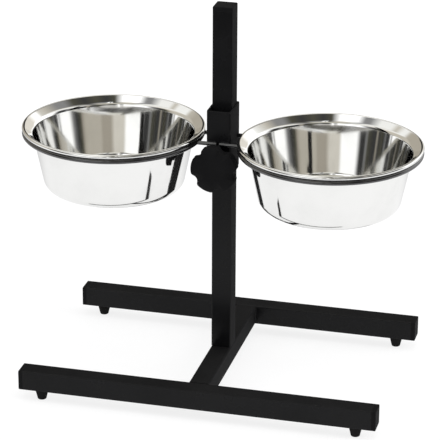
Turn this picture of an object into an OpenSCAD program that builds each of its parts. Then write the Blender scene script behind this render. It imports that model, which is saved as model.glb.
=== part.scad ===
// Dog feeder stand: two steel bowls on a carriage that slides up and down a square post
// Millimetres, +Z up, +X to the right, the front faces -Y
// The origin is on the floor, in the middle of the base

/* [Tube stock] */
// Outside width of the square tube of the base and the post
tube_w = 25; // [20:0.5:30]
// Wall of the square tube
tube_wall = 1.5; // [1:0.1:2.5]
// Outside corner radius of the square tube
tube_corner = 2; // [1:0.1:4]

/* [Base and post] */
// Length of the front and rear tubes, without their end plugs
bar_len = 432; // [360:1:520]
// Distance between the middles of the front and rear bars
bar_spacing = 262; // [250:1:320]
// Length of the post's tube, from the cross bar up to the cap
post_len = 434; // [380:1:520]

/* [End plugs and post cap] */
// Thickness of a plug's head, outside the tube
plug_head = 5; // [2:0.5:8]
// Chamfer round a plug's outer face
plug_chamfer = 0.8; // [0.2:0.1:1.6]
// Depth of a plug's shank inside the tube
plug_depth = 14; // [8:0.5:15]
// Wall of a plug's hollow shank
plug_wall = 1.6; // [1:0.1:2.4]
// Number of gripping fins round a shank
fin_count = 3; // [2:1:4]
// Thickness of one fin
fin_t = 1.2; // [0.8:0.1:1.6]
// How far a fin stands out from the shank
fin_reach = 1; // [0.5:0.1:1.5]
// Clearance between a fin and the tube's inner wall
plug_gap = 0.1; // [0.05:0.05:0.3]

/* [Feet] */
// Height of a foot under the bars
foot_h = 14; // [12:0.5:24]
// Foot diameter against the bar
foot_top_d = 17; // [14:0.5:20]
// Foot diameter on the floor
foot_bottom_d = 11; // [9:0.5:13]
// Radius of the rounded edge on the floor
foot_edge = 1.2; // [0.4:0.1:2]
// Distance from the end of a bar's tube to the middle of a foot
foot_inset = 21; // [21:0.5:40]
// Hole in the bar for the foot's stem
foot_hole_d = 8; // [6:0.5:9]
// Clearance round the stem in its hole
foot_stem_gap = 0.1; // [0.05:0.05:0.3]
// How far the stem's barb hooks over the hole's edge
foot_barb = 0.7; // [0.3:0.1:1]
// Height of the barb
foot_barb_h = 4; // [2:0.5:6]

/* [Post fixing] */
// Thread diameter of the bolt that holds the post
bolt_d = 8; // [6:1:10]
// Length of bolt inside the post
bolt_grip = 16; // [10:1:20]
// Width across the flats of the bolt's head
bolt_head_w = 13; // [10:1:16]
// Height of the bolt's head
bolt_head_h = 5.3; // [4:0.1:6.5]
// Clearance round the bolt in the cross bar
bolt_gap = 0.4; // [0.2:0.1:0.8]
// Outside diameter of the washer
washer_d = 17; // [15:0.5:20]
// Thickness of the washer
washer_t = 1.6; // [1:0.1:2]
// Length of the threaded insert in the post's lower end
insert_h = 22; // [20:1:40]
// Clearance of a thread that another piece runs in
thread_gap = 0.05; // [0.02:0.01:0.08]

/* [Bowls] */
// Diameter across a bowl's rolled rim
bowl_d = 222; // [200:1:240]
// Depth of a bowl from its rim to its underside
bowl_depth = 80; // [60:1:100]
// Thickness of the bowl's sheet
sheet = 0.8; // [0.6:0.1:1.2]
// Diameter of the rolled rim
roll_d = 5; // [4:0.1:6]
// Gap left open where the roll ends under the lip, as an angle of the roll
roll_open = 78; // [70:1:110]
// Width of the flared lip, from the shoulder out to the rim's edge
lip_w = 13.5; // [11:0.5:20]
// Height of the flared lip above the shoulder
lip_h = 8; // [7:0.5:13]
// Inside radius of the shoulder
shoulder_r = 8; // [3:0.5:14]
// How far the wall leans out between the floor and the shoulder
wall_lean = 14.5; // [8:0.5:26]
// Inside radius between floor and wall
floor_r = 14; // [3:0.5:18]
// Height of the rims above the floor, as the carriage stands
rim_height = 322; // [200:1:400]

/* [Rings] */
// Diameter of the rod that the hoops are bent from
rod_d = 6; // [5.5:0.5:8]
// Diameter of the straight rods that tie a hoop to the sleeve
tie_d = 5; // [3:0.5:5]
// How far the middle of a hoop's rod lies inside the middle of the rolled rim above it
seat_in = 0.5; // [0:0.1:1.5]
// Clearance between a hoop and the rolled rim that lies on it
seat_gap = 0.3; // [0.2:0.05:0.6]
// Distance of the bowls' middles in front of the post's middle
bowl_forward = 17; // [12:0.5:22]
// Distance of the rear ties behind the post's middle
rear_tie_back = 5; // [0:0.5:8]
// Gap between the two front ties, in the middle of the sleeve
front_tie_gap = 3; // [1:0.5:8]
// Gap between a front tie and the sleeve's face, for its weld
weld_gap = 0.05; // [0.02:0.01:0.2]

/* [Sleeve] */
// Height of the sleeve
sleeve_h = 80; // [70:1:100]
// Wall of the sleeve
sleeve_wall = 2; // [1.5:0.1:3]
// Outside corner radius of the sleeve
sleeve_corner = 2.8; // [2:0.1:4]
// Clearance between the sleeve and the post
slide_gap = 0.5; // [0.3:0.05:1]
// Room between the post and the sleeve's front wall, for the clamp
clamp_room = 15; // [13:0.5:20]
// Gap between the sleeve's side and a bowl's rim
rim_gap = 8; // [3:0.5:12]

/* [Clamp] */
// Thread diameter of the clamp screw
screw_d = 8; // [6:1:10]
// Distance of the screw under the rings
screw_drop = 26; // [22:0.5:30]
// Width across the flats of the weld nut
nut_w = 13; // [11:1:17]
// Thickness of the weld nut
nut_h = 6.5; // [5:0.5:8]
// Diameter of the screw's turned tip
tip_d = 5; // [4:0.5:5.5]
// Length of the screw's turned tip
tip_len = 4; // [3:0.5:5]
// Diameter of the pressure pad
pad_d = 12; // [9:0.5:14]
// Thickness of the pressure pad
pad_h = 6; // [5.5:0.5:7]
// Clearance between the tightened pad and the post
pad_gap = 0.2; // [0.1:0.05:0.4]

/* [Knob] */
// Diameter over the knob's lobes
knob_d = 57; // [44:1:62]
// Number of lobes
lobe_count = 5; // [3:1:7]
// Depth of the notches between the lobes
notch_depth = 4.5; // [3:0.1:8]
// Radius of the bottom of a notch
notch_r = 7.5; // [4:0.5:10]
// Radius of the rounded edges between a lobe's end and its notches
lobe_edge = 4; // [1.5:0.1:5]
// Direction of one lobe, in degrees from the right
lobe_turn = 29; // [0:1:72]
// Thickness of the lobed grip
knob_h = 15; // [10:0.5:20]
// Drop of the crowned front face from its flat middle to the lobes' tips
crown_drop = 2.4; // [1:0.1:4]
// Diameter of the flat in the middle of the front face
crown_flat_d = 30; // [16:1:36]
// Depth of the hollow in the back of the grip
knob_hollow = 9; // [5:0.5:10]
// Wall of the grip round that hollow
knob_wall = 3; // [2:0.1:4]
// Diameter of the hub
hub_d = 20; // [16:0.5:24]
// Length of the hub behind the grip
hub_h = 5; // [3:0.5:8]
// Thickness of the ribs between hub and grip
rib_t = 2; // [1.2:0.1:3]
// Clearance between the hub and the nut, tightened
hub_gap = 0.7; // [0.4:0.1:2]
// Length of the screw that is moulded into the knob
screw_hold = 14; // [8:0.5:16]
// Clearance round the moulded-in stretch of the screw
hold_gap = 0.02; // [0.01:0.01:0.05]

/* [Hidden] */
round_fn = 64;
arc_step = 12;
cut = 1;
small_r = 0.4;
post_base_z = foot_h + tube_w;
tube_bore = tube_w - 2 * tube_wall;
tube_bore_r = max(tube_corner - tube_wall, small_r);
foot_x = bar_len / 2 - foot_inset;
bar_y = bar_spacing / 2;
roll_r = roll_d / 2;
roll_x = bowl_d / 2 - roll_r;
shoulder_x = bowl_d / 2 - lip_w;
floor_x = shoulder_x - wall_lean;
to_roll = [roll_x - shoulder_x, lip_h - roll_r];
lip_a = atan2(to_roll[1], to_roll[0]) + asin(roll_r / norm(to_roll));
wall_a = atan2(bowl_depth - sheet - lip_h, wall_lean);
seat_reach = roll_r + seat_gap + rod_d / 2;
ring_drop = roll_r + sqrt(seat_reach * seat_reach - seat_in * seat_in);
ring_r = roll_x - seat_in;
ring_z = rim_height - ring_drop;
sleeve_in_w = tube_w + 2 * slide_gap;
sleeve_w = sleeve_in_w + 2 * sleeve_wall;
sleeve_front = tube_w / 2 + clamp_room + sleeve_wall;
sleeve_back = sleeve_w / 2;
bowl_x = sleeve_w / 2 + rim_gap + bowl_d / 2;
front_tie_y = -sleeve_front - weld_gap - tie_d / 2;
screw_z = ring_z - screw_drop;
nut_y = -sleeve_front - nut_h;
hub_y = nut_y - hub_gap;
grip_y = hub_y - hub_h;
pad_y = -tube_w / 2 - pad_gap;
tip_y = pad_y - pad_h + tip_len;
screw_end_y = hub_y - screw_hold;
notch_c = knob_d / 2 - notch_depth + notch_r;

// Points of an arc round centre c, from angle a0 to angle a1, about one for each arc_step degrees
function arc(c, r, a0, a1) =
    let (n = max(2, ceil(abs(a1 - a0) / arc_step)))
    [for (i = [0:n]) c + r * [cos(a0 + (a1 - a0) * i / n), sin(a0 + (a1 - a0) * i / n)]];

// Points of a path, last first
function backwards(path) = [for (i = [len(path) - 1:-1:0]) path[i]];

// Rectangle with rounded corners
module rounded_rect(w, d, r) {
    square([w - 2 * r, d], center = true);
    square([w, d - 2 * r], center = true);
    for (x = [-1, 1], y = [-1, 1])
        translate([x * (w / 2 - r), y * (d / 2 - r)])
            circle(r = r, $fn = round_fn);
}

// Square tube of the stand, standing on the origin
module square_tube(length) {
    linear_extrude(length)
        difference() {
            rounded_rect(tube_w, tube_w, tube_corner);
            rounded_rect(tube_bore, tube_bore, tube_bore_r);
        }
}

// Front or rear bar, with the holes for its two feet
module base_bar(y) {
    color("#1b1b1c")
        difference() {
            translate([-bar_len / 2, y, foot_h + tube_w / 2])
                rotate([0, 90, 0])
                    square_tube(bar_len);
            for (x = [-foot_x, foot_x])
                translate([x, y, foot_h - cut])
                    cylinder(d = foot_hole_d, h = tube_wall + 2 * cut, $fn = round_fn);
        }
}

// Cross bar, butted between the front and rear bars and drilled for the post's bolt
module cross_bar() {
    cross_len = bar_spacing - tube_w;
    color("#1b1b1c")
        difference() {
            translate([0, cross_len / 2, foot_h + tube_w / 2])
                rotate([90, 0, 0])
                    square_tube(cross_len);
            translate([0, 0, foot_h - cut])
                cylinder(d = bolt_d + 2 * bolt_gap, h = tube_w + 2 * cut, $fn = round_fn);
        }
}

// Post on the middle of the cross bar
module post() {
    color("#1b1b1c")
        translate([0, 0, post_base_z])
            square_tube(post_len);
}

// Side view of a plug's head with its chamfered edges
module plug_head_side() {
    w = tube_w / 2;
    polygon([[-w, 0], [w, 0], [w, plug_head - plug_chamfer], [w - plug_chamfer, plug_head],
        [plug_chamfer - w, plug_head], [-w, plug_head - plug_chamfer]]);
}

// Plug for the end of a tube: its head stands on the origin, its finned shank hangs below
module tube_plug() {
    fin_w = tube_bore - 2 * plug_gap;
    shank_w = fin_w - 2 * fin_reach;
    fin_pitch = plug_depth / (fin_count + 0.5);
    color("#161617") {
        intersection() {
            linear_extrude(plug_head)
                rounded_rect(tube_w, tube_w, tube_corner);
            rotate([90, 0, 0])
                linear_extrude(tube_w + 2 * cut, center = true)
                    plug_head_side();
            rotate([90, 0, 90])
                linear_extrude(tube_w + 2 * cut, center = true)
                    plug_head_side();
        }
        difference() {
            union() {
                translate([0, 0, -plug_depth])
                    linear_extrude(plug_depth)
                        rounded_rect(shank_w, shank_w, 2 * small_r);
                for (i = [1:fin_count])
                    translate([0, 0, -i * fin_pitch])
                        linear_extrude(fin_t)
                            rounded_rect(fin_w, fin_w, tube_bore_r + small_r);
            }
            translate([0, 0, -plug_depth - cut])
                linear_extrude(plug_depth + cut)
                    rounded_rect(shank_w - 2 * plug_wall, shank_w - 2 * plug_wall, small_r);
        }
    }
}

// Plug in one end of a bar: side is -1 for the left end, 1 for the right
module bar_plug(side, y) {
    translate([side * bar_len / 2, y, foot_h + tube_w / 2])
        rotate([0, side * 90, 0])
            tube_plug();
}

// Cap on top of the post
module post_cap() {
    translate([0, 0, post_base_z + post_len])
        tube_plug();
}

// Tapered foot with a barbed stem that is pushed through the bar's lower wall
module foot(x, y) {
    stem_r = foot_hole_d / 2 - foot_stem_gap;
    barb_z = foot_h + tube_wall + foot_stem_gap;
    barb_r = foot_hole_d / 2 + foot_barb;
    tip_r = stem_r - foot_barb;
    edge = [foot_bottom_d / 2 - foot_edge, foot_edge];
    side = concat([[0, 0]], arc(edge, foot_edge, -90, 0), [[foot_top_d / 2, foot_h], [stem_r, foot_h],
        [stem_r, barb_z], [barb_r, barb_z], [tip_r, barb_z + foot_barb_h], [0, barb_z + foot_barb_h]]);
    color("#19191a")
        translate([x, y, 0])
            rotate_extrude($fn = round_fn)
                polygon(side);
}

// Threaded plug in the lower end of the post
module post_insert() {
    insert_w = tube_bore - 2 * plug_gap;
    color("#8d9094")
        translate([0, 0, post_base_z])
            difference() {
                linear_extrude(insert_h)
                    rounded_rect(insert_w, insert_w, tube_bore_r + small_r);
                translate([0, 0, -cut])
                    cylinder(d = bolt_d + 2 * thread_gap, h = insert_h + 2 * cut, $fn = round_fn);
            }
}

// Hexagon bolt from under the cross bar up into the post's insert
module post_bolt() {
    head_z = foot_h - washer_t - bolt_head_h;
    color("#9a9da1")
        translate([0, 0, head_z]) {
            cylinder(d = bolt_head_w / cos(30), h = bolt_head_h, $fn = 6);
            cylinder(d = bolt_d, h = post_base_z + bolt_grip - head_z, $fn = round_fn);
        }
}

// Washer between the bolt's head and the cross bar
module post_washer() {
    color("#9a9da1")
        translate([0, 0, foot_h - washer_t])
            difference() {
                cylinder(d = washer_d, h = washer_t, $fn = round_fn);
                translate([0, 0, -cut])
                    cylinder(d = bolt_d + 2 * bolt_gap, h = washer_t + 2 * cut, $fn = round_fn);
            }
}

// Sleeve round the post, deeper in front to leave room for the clamp
module sleeve() {
    depth = sleeve_front + sleeve_back;
    middle_y = (sleeve_back - sleeve_front) / 2;
    in_depth = depth - 2 * sleeve_wall;
    color("#1a1a1b")
        difference() {
            translate([0, middle_y, ring_z - sleeve_h / 2])
                linear_extrude(sleeve_h)
                    difference() {
                        rounded_rect(sleeve_w, depth, sleeve_corner);
                        rounded_rect(sleeve_in_w, in_depth, max(sleeve_corner - sleeve_wall, small_r));
                    }
            translate([0, cut - tube_w / 2 - clamp_room, screw_z])
                rotate([90, 0, 0])
                    cylinder(d = screw_d + 2 * bolt_gap, h = sleeve_wall + 2 * cut, $fn = round_fn);
        }
}

// Nut welded on the sleeve's front, which the clamp screw runs in
module clamp_nut() {
    color("#1a1a1b")
        translate([0, -sleeve_front, screw_z])
            rotate([90, 0, 0])
                difference() {
                    cylinder(d = nut_w / cos(30), h = nut_h, $fn = 6);
                    translate([0, 0, -cut])
                        cylinder(d = screw_d + 2 * thread_gap, h = nut_h + 2 * cut, $fn = round_fn);
                }
}

// Straight tie from a hoop to x_end, along X at the depth y
module ring_tie(x_end, y) {
    hoop_x = sqrt(pow(ring_r, 2) - pow(y + bowl_forward, 2)) - bowl_x;
    translate([hoop_x, y, 0])
        rotate([0, 90, 0])
            cylinder(d = tie_d, h = x_end - hoop_x, $fn = round_fn);
}

// Left ring: a hoop of rod with one tie across the sleeve's front and one to the sleeve's side
module left_ring_rods() {
    translate([-bowl_x, -bowl_forward, 0])
        rotate_extrude($fn = 2 * round_fn)
            translate([ring_r, 0])
                circle(d = rod_d, $fn = round_fn);
    ring_tie(-front_tie_gap / 2, front_tie_y);
    ring_tie(-sleeve_w / 2, rear_tie_back);
}

// One ring: side is -1 for the left ring, 1 for the right
module ring(side) {
    color("#1d1d1e")
        translate([0, 0, ring_z])
            mirror([side > 0 ? 1 : 0, 0, 0])
                left_ring_rods();
}

// Outline of the knob's grip: a disc with rounded notches
module lobed_outline() {
    disc_r = knob_d / 2;
    edge_c = disc_r - lobe_edge;
    reach = notch_r + lobe_edge;
    half_a = acos((notch_c * notch_c + edge_c * edge_c - reach * reach) / (2 * notch_c * edge_c));
    left = [cos(half_a), sin(half_a)];
    right = [cos(half_a), -sin(half_a)];
    difference() {
        circle(r = disc_r, $fn = 2 * round_fn);
        for (i = [0:lobe_count - 1])
            rotate(lobe_turn + (i + 0.5) * 360 / lobe_count) {
                translate([notch_c, 0])
                    circle(r = notch_r, $fn = round_fn);
                difference() {
                    polygon([[notch_c, 0], edge_c * right, (disc_r + cut) * right, [disc_r + 2 * cut, 0],
                        (disc_r + cut) * left, edge_c * left]);
                    translate(edge_c * left)
                        circle(r = lobe_edge, $fn = round_fn);
                    translate(edge_c * right)
                        circle(r = lobe_edge, $fn = round_fn);
                }
            }
    }
}

// Outline of the hollow in the back of the grip
module hollow_outline() {
    difference() {
        circle(r = knob_d / 2 - knob_wall, $fn = 2 * round_fn);
        for (i = [0:lobe_count - 1])
            rotate(lobe_turn + (i + 0.5) * 360 / lobe_count)
                translate([notch_c, 0])
                    circle(r = notch_r + knob_wall, $fn = round_fn);
    }
}

// Side view of the crowned grip, for turning: flat in the middle and rounded down to the lobes
module crown_side() {
    flat_r = crown_flat_d / 2;
    run = knob_d / 2 - flat_r;
    crown_r = (run * run + crown_drop * crown_drop) / (2 * crown_drop);
    edge_a = asin((run + cut) / crown_r);
    polygon(concat([[0, 0], [knob_d / 2 + cut, 0]],
        backwards(arc([flat_r, knob_h - crown_r], crown_r, 90, 90 - edge_a)), [[0, knob_h]]));
}

// Star knob: a crowned grip with lobes, hollow at the back, ribbed to its hub
module knob() {
    color("#171718")
        translate([0, grip_y, screw_z])
            rotate([90, 0, 0])
                difference() {
                    union() {
                        intersection() {
                            difference() {
                                linear_extrude(knob_h)
                                    lobed_outline();
                                translate([0, 0, -cut])
                                    linear_extrude(knob_hollow + cut)
                                        hollow_outline();
                            }
                            rotate_extrude($fn = 2 * round_fn)
                                crown_side();
                        }
                        translate([0, 0, -hub_h])
                            cylinder(d = hub_d, h = hub_h + knob_hollow, $fn = round_fn);
                        for (i = [0:lobe_count - 1])
                            rotate([0, 0, lobe_turn + (i + 0.5) * 360 / lobe_count])
                                translate([0, -rib_t / 2, 0])
                                    cube([knob_d / 2 - notch_depth - knob_wall / 2, rib_t, knob_hollow]);
                    }
                    translate([0, 0, -hub_h - cut])
                        cylinder(d = screw_d + 2 * hold_gap, h = screw_hold + cut, $fn = round_fn);
                }
}

// Screw that the knob turns, with a turned tip that seats in the pad
module clamp_screw() {
    shoulder_y = pad_y - pad_h - pad_gap;
    color("#9a9da1") {
        translate([0, shoulder_y, screw_z])
            rotate([90, 0, 0])
                cylinder(d = screw_d, h = shoulder_y - screw_end_y, $fn = round_fn);
        translate([0, tip_y, screw_z])
            rotate([90, 0, 0])
                cylinder(d = tip_d, h = tip_y - shoulder_y, $fn = round_fn);
    }
}

// Pad that the screw presses on the post
module clamp_pad() {
    color("#d8d4c8")
        translate([0, pad_y, screw_z])
            rotate([90, 0, 0])
                difference() {
                    cylinder(d = pad_d, h = pad_h, $fn = round_fn);
                    translate([0, 0, pad_h - tip_len - pad_gap])
                        cylinder(d = tip_d + 2 * thread_gap, h = tip_len + pad_gap + cut, $fn = round_fn);
                }
}

// Side of the bowl's sheet from the middle of the floor to the end of the roll,
// with the rim's top at 0: depth is 0 on the inside and the sheet's thickness on the outside
function bowl_side(depth) =
    let (floor_z = sheet - bowl_depth)
    let (floor_c = [floor_x - floor_r * tan(wall_a / 2), floor_z + floor_r])
    let (back = shoulder_r * tan((wall_a - lip_a) / 2))
    let (wall_end = [shoulder_x - back * cos(wall_a), -lip_h - back * sin(wall_a)])
    let (shoulder_c = wall_end + shoulder_r * [sin(wall_a), -cos(wall_a)])
    concat([[0, floor_z - depth]],
        arc(floor_c, floor_r + depth, -90, wall_a - 90),
        arc(shoulder_c, shoulder_r - depth, 90 + wall_a, 90 + lip_a),
        arc([roll_x, -roll_r], roll_r - depth, 90 + lip_a, roll_open + lip_a - 270));

// Bowl of sheet steel: side is -1 for the left bowl, 1 for the right
module bowl(side) {
    color("#d9dadb")
        translate([side * bowl_x, -bowl_forward, rim_height])
            rotate_extrude($fn = 2 * round_fn)
                polygon(concat(bowl_side(0), backwards(bowl_side(sheet))));
}

base_bar(-bar_y);  // front_bar
base_bar(bar_y);  // rear_bar
cross_bar();
post();
post_cap();
bar_plug(-1, -bar_y);  // front_left_plug
bar_plug(1, -bar_y);  // front_right_plug
bar_plug(-1, bar_y);  // rear_left_plug
bar_plug(1, bar_y);  // rear_right_plug
foot(-foot_x, -bar_y);  // front_left_foot
foot(foot_x, -bar_y);  // front_right_foot
foot(-foot_x, bar_y);  // rear_left_foot
foot(foot_x, bar_y);  // rear_right_foot
post_insert();
post_bolt();
post_washer();
sleeve();
clamp_nut();
ring(-1);  // left_ring
ring(1);  // right_ring
knob();
clamp_screw();
clamp_pad();
bowl(-1);  // left_bowl
bowl(1);  // right_bowl
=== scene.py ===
# %% [markdown]
# # A dog feeder stand
# The stand has a welded base of square tube, a post, and a carriage that slides on the post
# and is held by a star knob. Two polished steel bowls hang in the carriage's wire rings.
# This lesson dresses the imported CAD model: the CAD says where everything is, and each piece
# is modelled again here with the roundings, welds, threads and finishes of the real one.

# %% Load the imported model
import math
import random

import bmesh
import bpy
from mathutils import Matrix, Vector


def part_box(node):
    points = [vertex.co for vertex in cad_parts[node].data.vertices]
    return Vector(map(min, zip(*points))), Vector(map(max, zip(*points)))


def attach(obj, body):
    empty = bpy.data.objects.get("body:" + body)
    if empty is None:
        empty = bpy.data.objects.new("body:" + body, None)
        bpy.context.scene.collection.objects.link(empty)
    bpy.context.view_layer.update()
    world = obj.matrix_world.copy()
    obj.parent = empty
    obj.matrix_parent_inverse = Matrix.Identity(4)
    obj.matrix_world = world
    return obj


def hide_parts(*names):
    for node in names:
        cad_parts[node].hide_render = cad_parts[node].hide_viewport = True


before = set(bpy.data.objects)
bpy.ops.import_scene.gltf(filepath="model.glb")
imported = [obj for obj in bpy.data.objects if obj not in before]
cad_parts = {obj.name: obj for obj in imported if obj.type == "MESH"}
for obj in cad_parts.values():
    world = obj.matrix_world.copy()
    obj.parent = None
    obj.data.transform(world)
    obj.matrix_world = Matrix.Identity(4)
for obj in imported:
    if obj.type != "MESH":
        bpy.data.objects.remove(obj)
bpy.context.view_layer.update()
mm = 0.001


def in_mm(sizes):
    """Sizes in metres as rounded millimetres, for printing."""
    return [round(size / mm, 1) for size in sizes]


# %% [markdown]
# ## The camera
# The photograph looks down on the stand from a little to the right, from far away, so there is
# hardly any perspective. A camera can be placed by eye, but here its place was worked out from
# the corners of the bars and the post. It is written as an angle, a height and a distance,
# because those are easy to change.

# %% Camera
view_azimuth = math.radians(14.264)
view_elevation = math.radians(22.016)
view_roll = math.radians(0.276)
aim = Vector((-5.09, 0, 203.42)) * mm
aim_distance = 2979 * mm

towards_camera = Vector((math.sin(view_azimuth) * math.cos(view_elevation),
                         -math.cos(view_azimuth) * math.cos(view_elevation),
                         math.sin(view_elevation)))
level_right = Vector((math.cos(view_azimuth), math.sin(view_azimuth), 0))
level_up = towards_camera.cross(level_right)
right = level_right * math.cos(view_roll) + level_up * math.sin(view_roll)
up = level_up * math.cos(view_roll) - level_right * math.sin(view_roll)


def deselect():
    """Deselects all objects, so that the next operator acts on nothing else."""
    bpy.ops.object.select_all(action="DESELECT")


deselect()
bpy.ops.object.camera_add()
camera = bpy.context.object
camera.name = "camera"
turn_to_view = Matrix((right, up, towards_camera)).transposed().to_4x4()
camera.matrix_world = Matrix.Translation(aim + towards_camera * aim_distance) @ turn_to_view
camera.data.sensor_width = 36
camera.data.lens = 199.5
camera.data.clip_end = 60
bpy.context.scene.camera = camera
print("Camera stands", round(aim_distance, 2), "m away")

# %% [markdown]
# ## Nodes
# Every material below is a small tree of shader nodes. Adding them one line at a time is easier
# to read with a few helpers: the first adds a node, sets its options, and fills its sockets with
# numbers or with links from other nodes. The others are the few sums that come up again and again.

# %% Helpers that add nodes
def put(tree, kind, inputs=None, **options):
    """Adds a shader node: inputs holds its sockets' numbers or links, options its settings."""
    node = tree.nodes.new("ShaderNode" + kind)
    for key, value in options.items():
        setattr(node, key, value)
    for key, value in (inputs or {}).items():
        if isinstance(value, bpy.types.NodeSocket):
            tree.links.new(value, node.inputs[key])
        else:
            node.inputs[key].default_value = value
    return node


def math_node(tree, operation, first, second=0.0):
    """A Math node's result for two numbers or sockets."""
    return put(tree, "Math", {0: first, 1: second}, operation=operation).outputs[0]


def smooth_step(tree, value, low, high, start=0.0, end=1.0):
    """A soft step from start to end while value goes from low to high."""
    inputs = {"Value": value, "From Min": low, "From Max": high, "To Min": start, "To Max": end}
    return put(tree, "MapRange", inputs, interpolation_type="SMOOTHSTEP").outputs[0]


def patch(tree, *edges):
    """A patch with soft edges: several soft steps multiplied, each given as (value, low, high...)."""
    share = smooth_step(tree, *edges[0])
    for edge in edges[1:]:
        share = math_node(tree, "MULTIPLY", share, smooth_step(tree, *edge))
    return share


def mix_value(tree, share, first, second):
    """Two numbers or sockets, mixed by a share from 0 to 1."""
    return put(tree, "Mix", {0: share, 2: first, 3: second}, data_type="FLOAT").outputs[0]


def mix_colour(tree, share, *colours):
    """Two colours, each red, green and blue or a socket, mixed by a share from 0 to 1."""
    first, second = [colour if isinstance(colour, bpy.types.NodeSocket) else (*colour, 1)
                     for colour in colours]
    return put(tree, "Mix", {0: share, 6: first, 7: second}, data_type="RGBA").outputs[2]


print("Node helpers ready")

# %% [markdown]
# ## The studio
# A mirror only shows what stands around it, so the bowls need a room. The photograph's bowls
# show tall streaks: white windows, beige walls and dark gaps. One could stand cards round the
# object, but a sky that is painted by direction needs no objects and never hides the view. It is
# seen only in reflections: the camera itself sees plain white, and matt surfaces get even light.

# %% Tones of the room
white = (1.5, 1.5, 1.5)
silver = (1.05, 1.05, 1.02)
pale = (0.86, 0.82, 0.74)
beige = (0.62, 0.58, 0.50)
tan = (0.48, 0.44, 0.37)
grey = (0.28, 0.28, 0.28)
olive = (0.085, 0.082, 0.062)
dark = (0.05, 0.05, 0.05)

wall_stops = [
    (-46, dark), (-45, white), (-44, dark), (-43, white), (-35, white), (-32, grey), (-29, dark),
    (-26, olive), (-24, tan), (-22, beige), (-11, beige), (-9, tan), (-3, tan), (0, pale),
    (7, pale), (9, white), (20, white), (23, dark), (26, dark), (27.5, grey), (29, olive),
    (33, dark), (35, dark), (36, tan), (37, dark), (40, olive), (42, dark), (43, grey),
    (44, dark), (46, dark)]
ceiling_stops = [
    (-80, silver), (-60, silver), (-48, beige), (-40, grey), (-34, grey), (-28, olive),
    (-20, dark), (-12, olive), (-5, dark), (1, olive), (7, white), (18, white), (23, grey),
    (27, grey), (34, silver), (42, silver), (46, beige), (50, silver), (64, silver), (80, pale)]
block_stops = [
    (-20, pale), (-6, grey), (-2, olive), (2, dark), (4, dark), (5, white), (7, white), (8, dark),
    (10, dark), (11, white), (14, white), (18, grey)]
print("Tones:", len(wall_stops), "on the walls,", len(ceiling_stops), "on the ceiling")

# %% [markdown]
# ## Walls and ceiling
# A bowl shows the room in three places: its far wall shows all of it, seen by way of the near
# wall, its far lip shows the ceiling, and a narrow band under the lip shows the ceiling's front.
# Each tone could be placed by trial. Here the slopes of wall and lip say which direction is seen
# at which place round the bowl, so that a tone's angle is simply its place round the bowl.

# %% Directions in the sky
wall_squeeze = 0.2575
lip_rise, lip_stretch = 0.397, -1.351

world = bpy.data.worlds.new("studio")
bpy.context.scene.world = world
world.use_nodes = True
sky = world.node_tree
sky.nodes.clear()
towards = put(sky, "TexCoord").outputs["Generated"]
turned = put(sky, "Mapping", {"Vector": towards, "Rotation": (0, 0, -view_azimuth)}).outputs[0]
to_side, to_back, to_top = put(sky, "SeparateXYZ", {0: turned}).outputs
to_front = math_node(sky, "MULTIPLY", to_back, -1.0)
aside = math_node(sky, "ABSOLUTE", to_side)
wall_place = math_node(sky, "MULTIPLY", math_node(sky, "ARCTAN2", to_side, to_back), wall_squeeze)
lip_sine = math_node(sky, "DIVIDE", to_side, math_node(sky, "ADD", to_top, lip_rise))
lip_place = math_node(sky, "ARCSINE", math_node(sky, "MULTIPLY", lip_sine, lip_stretch))
block_place = math_node(sky, "ARCTAN2", to_side, to_front)
print("Sky turned by", round(math.degrees(view_azimuth), 1), "degrees, as the camera is")


# %% Walls, ceiling and window
def bands(angle, stops):
    """A colour ramp over an angle from -90 to 90 degrees, its stops given as (degrees, colour)."""
    position = math_node(sky, "MULTIPLY_ADD", angle, 1 / math.pi)
    position.node.inputs[2].default_value = 0.5
    node = put(sky, "ValToRGB", {0: position})
    ramp = node.color_ramp
    for degrees, _ in stops[1:-1]:
        ramp.elements.new(degrees / 180 + 0.5)
    for element, (degrees, colour) in zip(ramp.elements, stops):
        element.position = degrees / 180 + 0.5
        element.color = (*colour, 1)
    return node.outputs["Color"]


fading = (1.0, 0.0)
sill = (0.56, 0.54, 0.47)
walls = bands(wall_place, wall_stops)
ceiling = bands(lip_place, ceiling_stops)
window = mix_colour(sky, smooth_step(sky, to_top, 0.8, 0.87), sill, bands(block_place, block_stops))
ahead = patch(sky, (to_front, 0.2, 0.28), (aside, 0.3, 0.45, *fading))
ceiling = mix_colour(sky, ahead, ceiling, window)
print("Window and blocks in the ceiling's front")

# %% [markdown]
# ## Cards and strips
# A photographer adds a few cards to shape the gloss. A pale one high behind draws the bright line on
# top of the rolled rims. A black one low behind is seen only by level faces and keeps those dark. A
# low strip light in front draws the bright line along the hoops and the rounded edges of the tubes.

# %% Cards, and what each kind of ray sees
pale_card, black_card, strip_light = (1.0, 0.98, 0.91), (0.02, 0.02, 0.02), (1.2, 1.17, 1.1)
even_light, plain_white = (0.62, 0.62, 0.63), (1, 1, 1)

high_behind = patch(sky, (to_back, 0.15, 0.3), (aside, 0.2, 0.3, *fading))
low_behind = patch(sky, (to_back, 0.3, 0.5), (to_top, 0.1, 0.2), (to_top, 0.39, 0.425, *fading),
                   (aside, 0.2, 0.3, *fading))
low_ahead = patch(sky, (to_top, 0.05, 0.08), (to_top, 0.15, 0.18, *fading), (to_front, 0.9, 0.95))
ceiling = mix_colour(sky, high_behind, ceiling, pale_card)
room = mix_colour(sky, smooth_step(sky, to_top, 0.48, 0.56), walls, ceiling)
room = mix_colour(sky, low_behind, room, black_card)
room = mix_colour(sky, low_ahead, room, strip_light)

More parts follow.
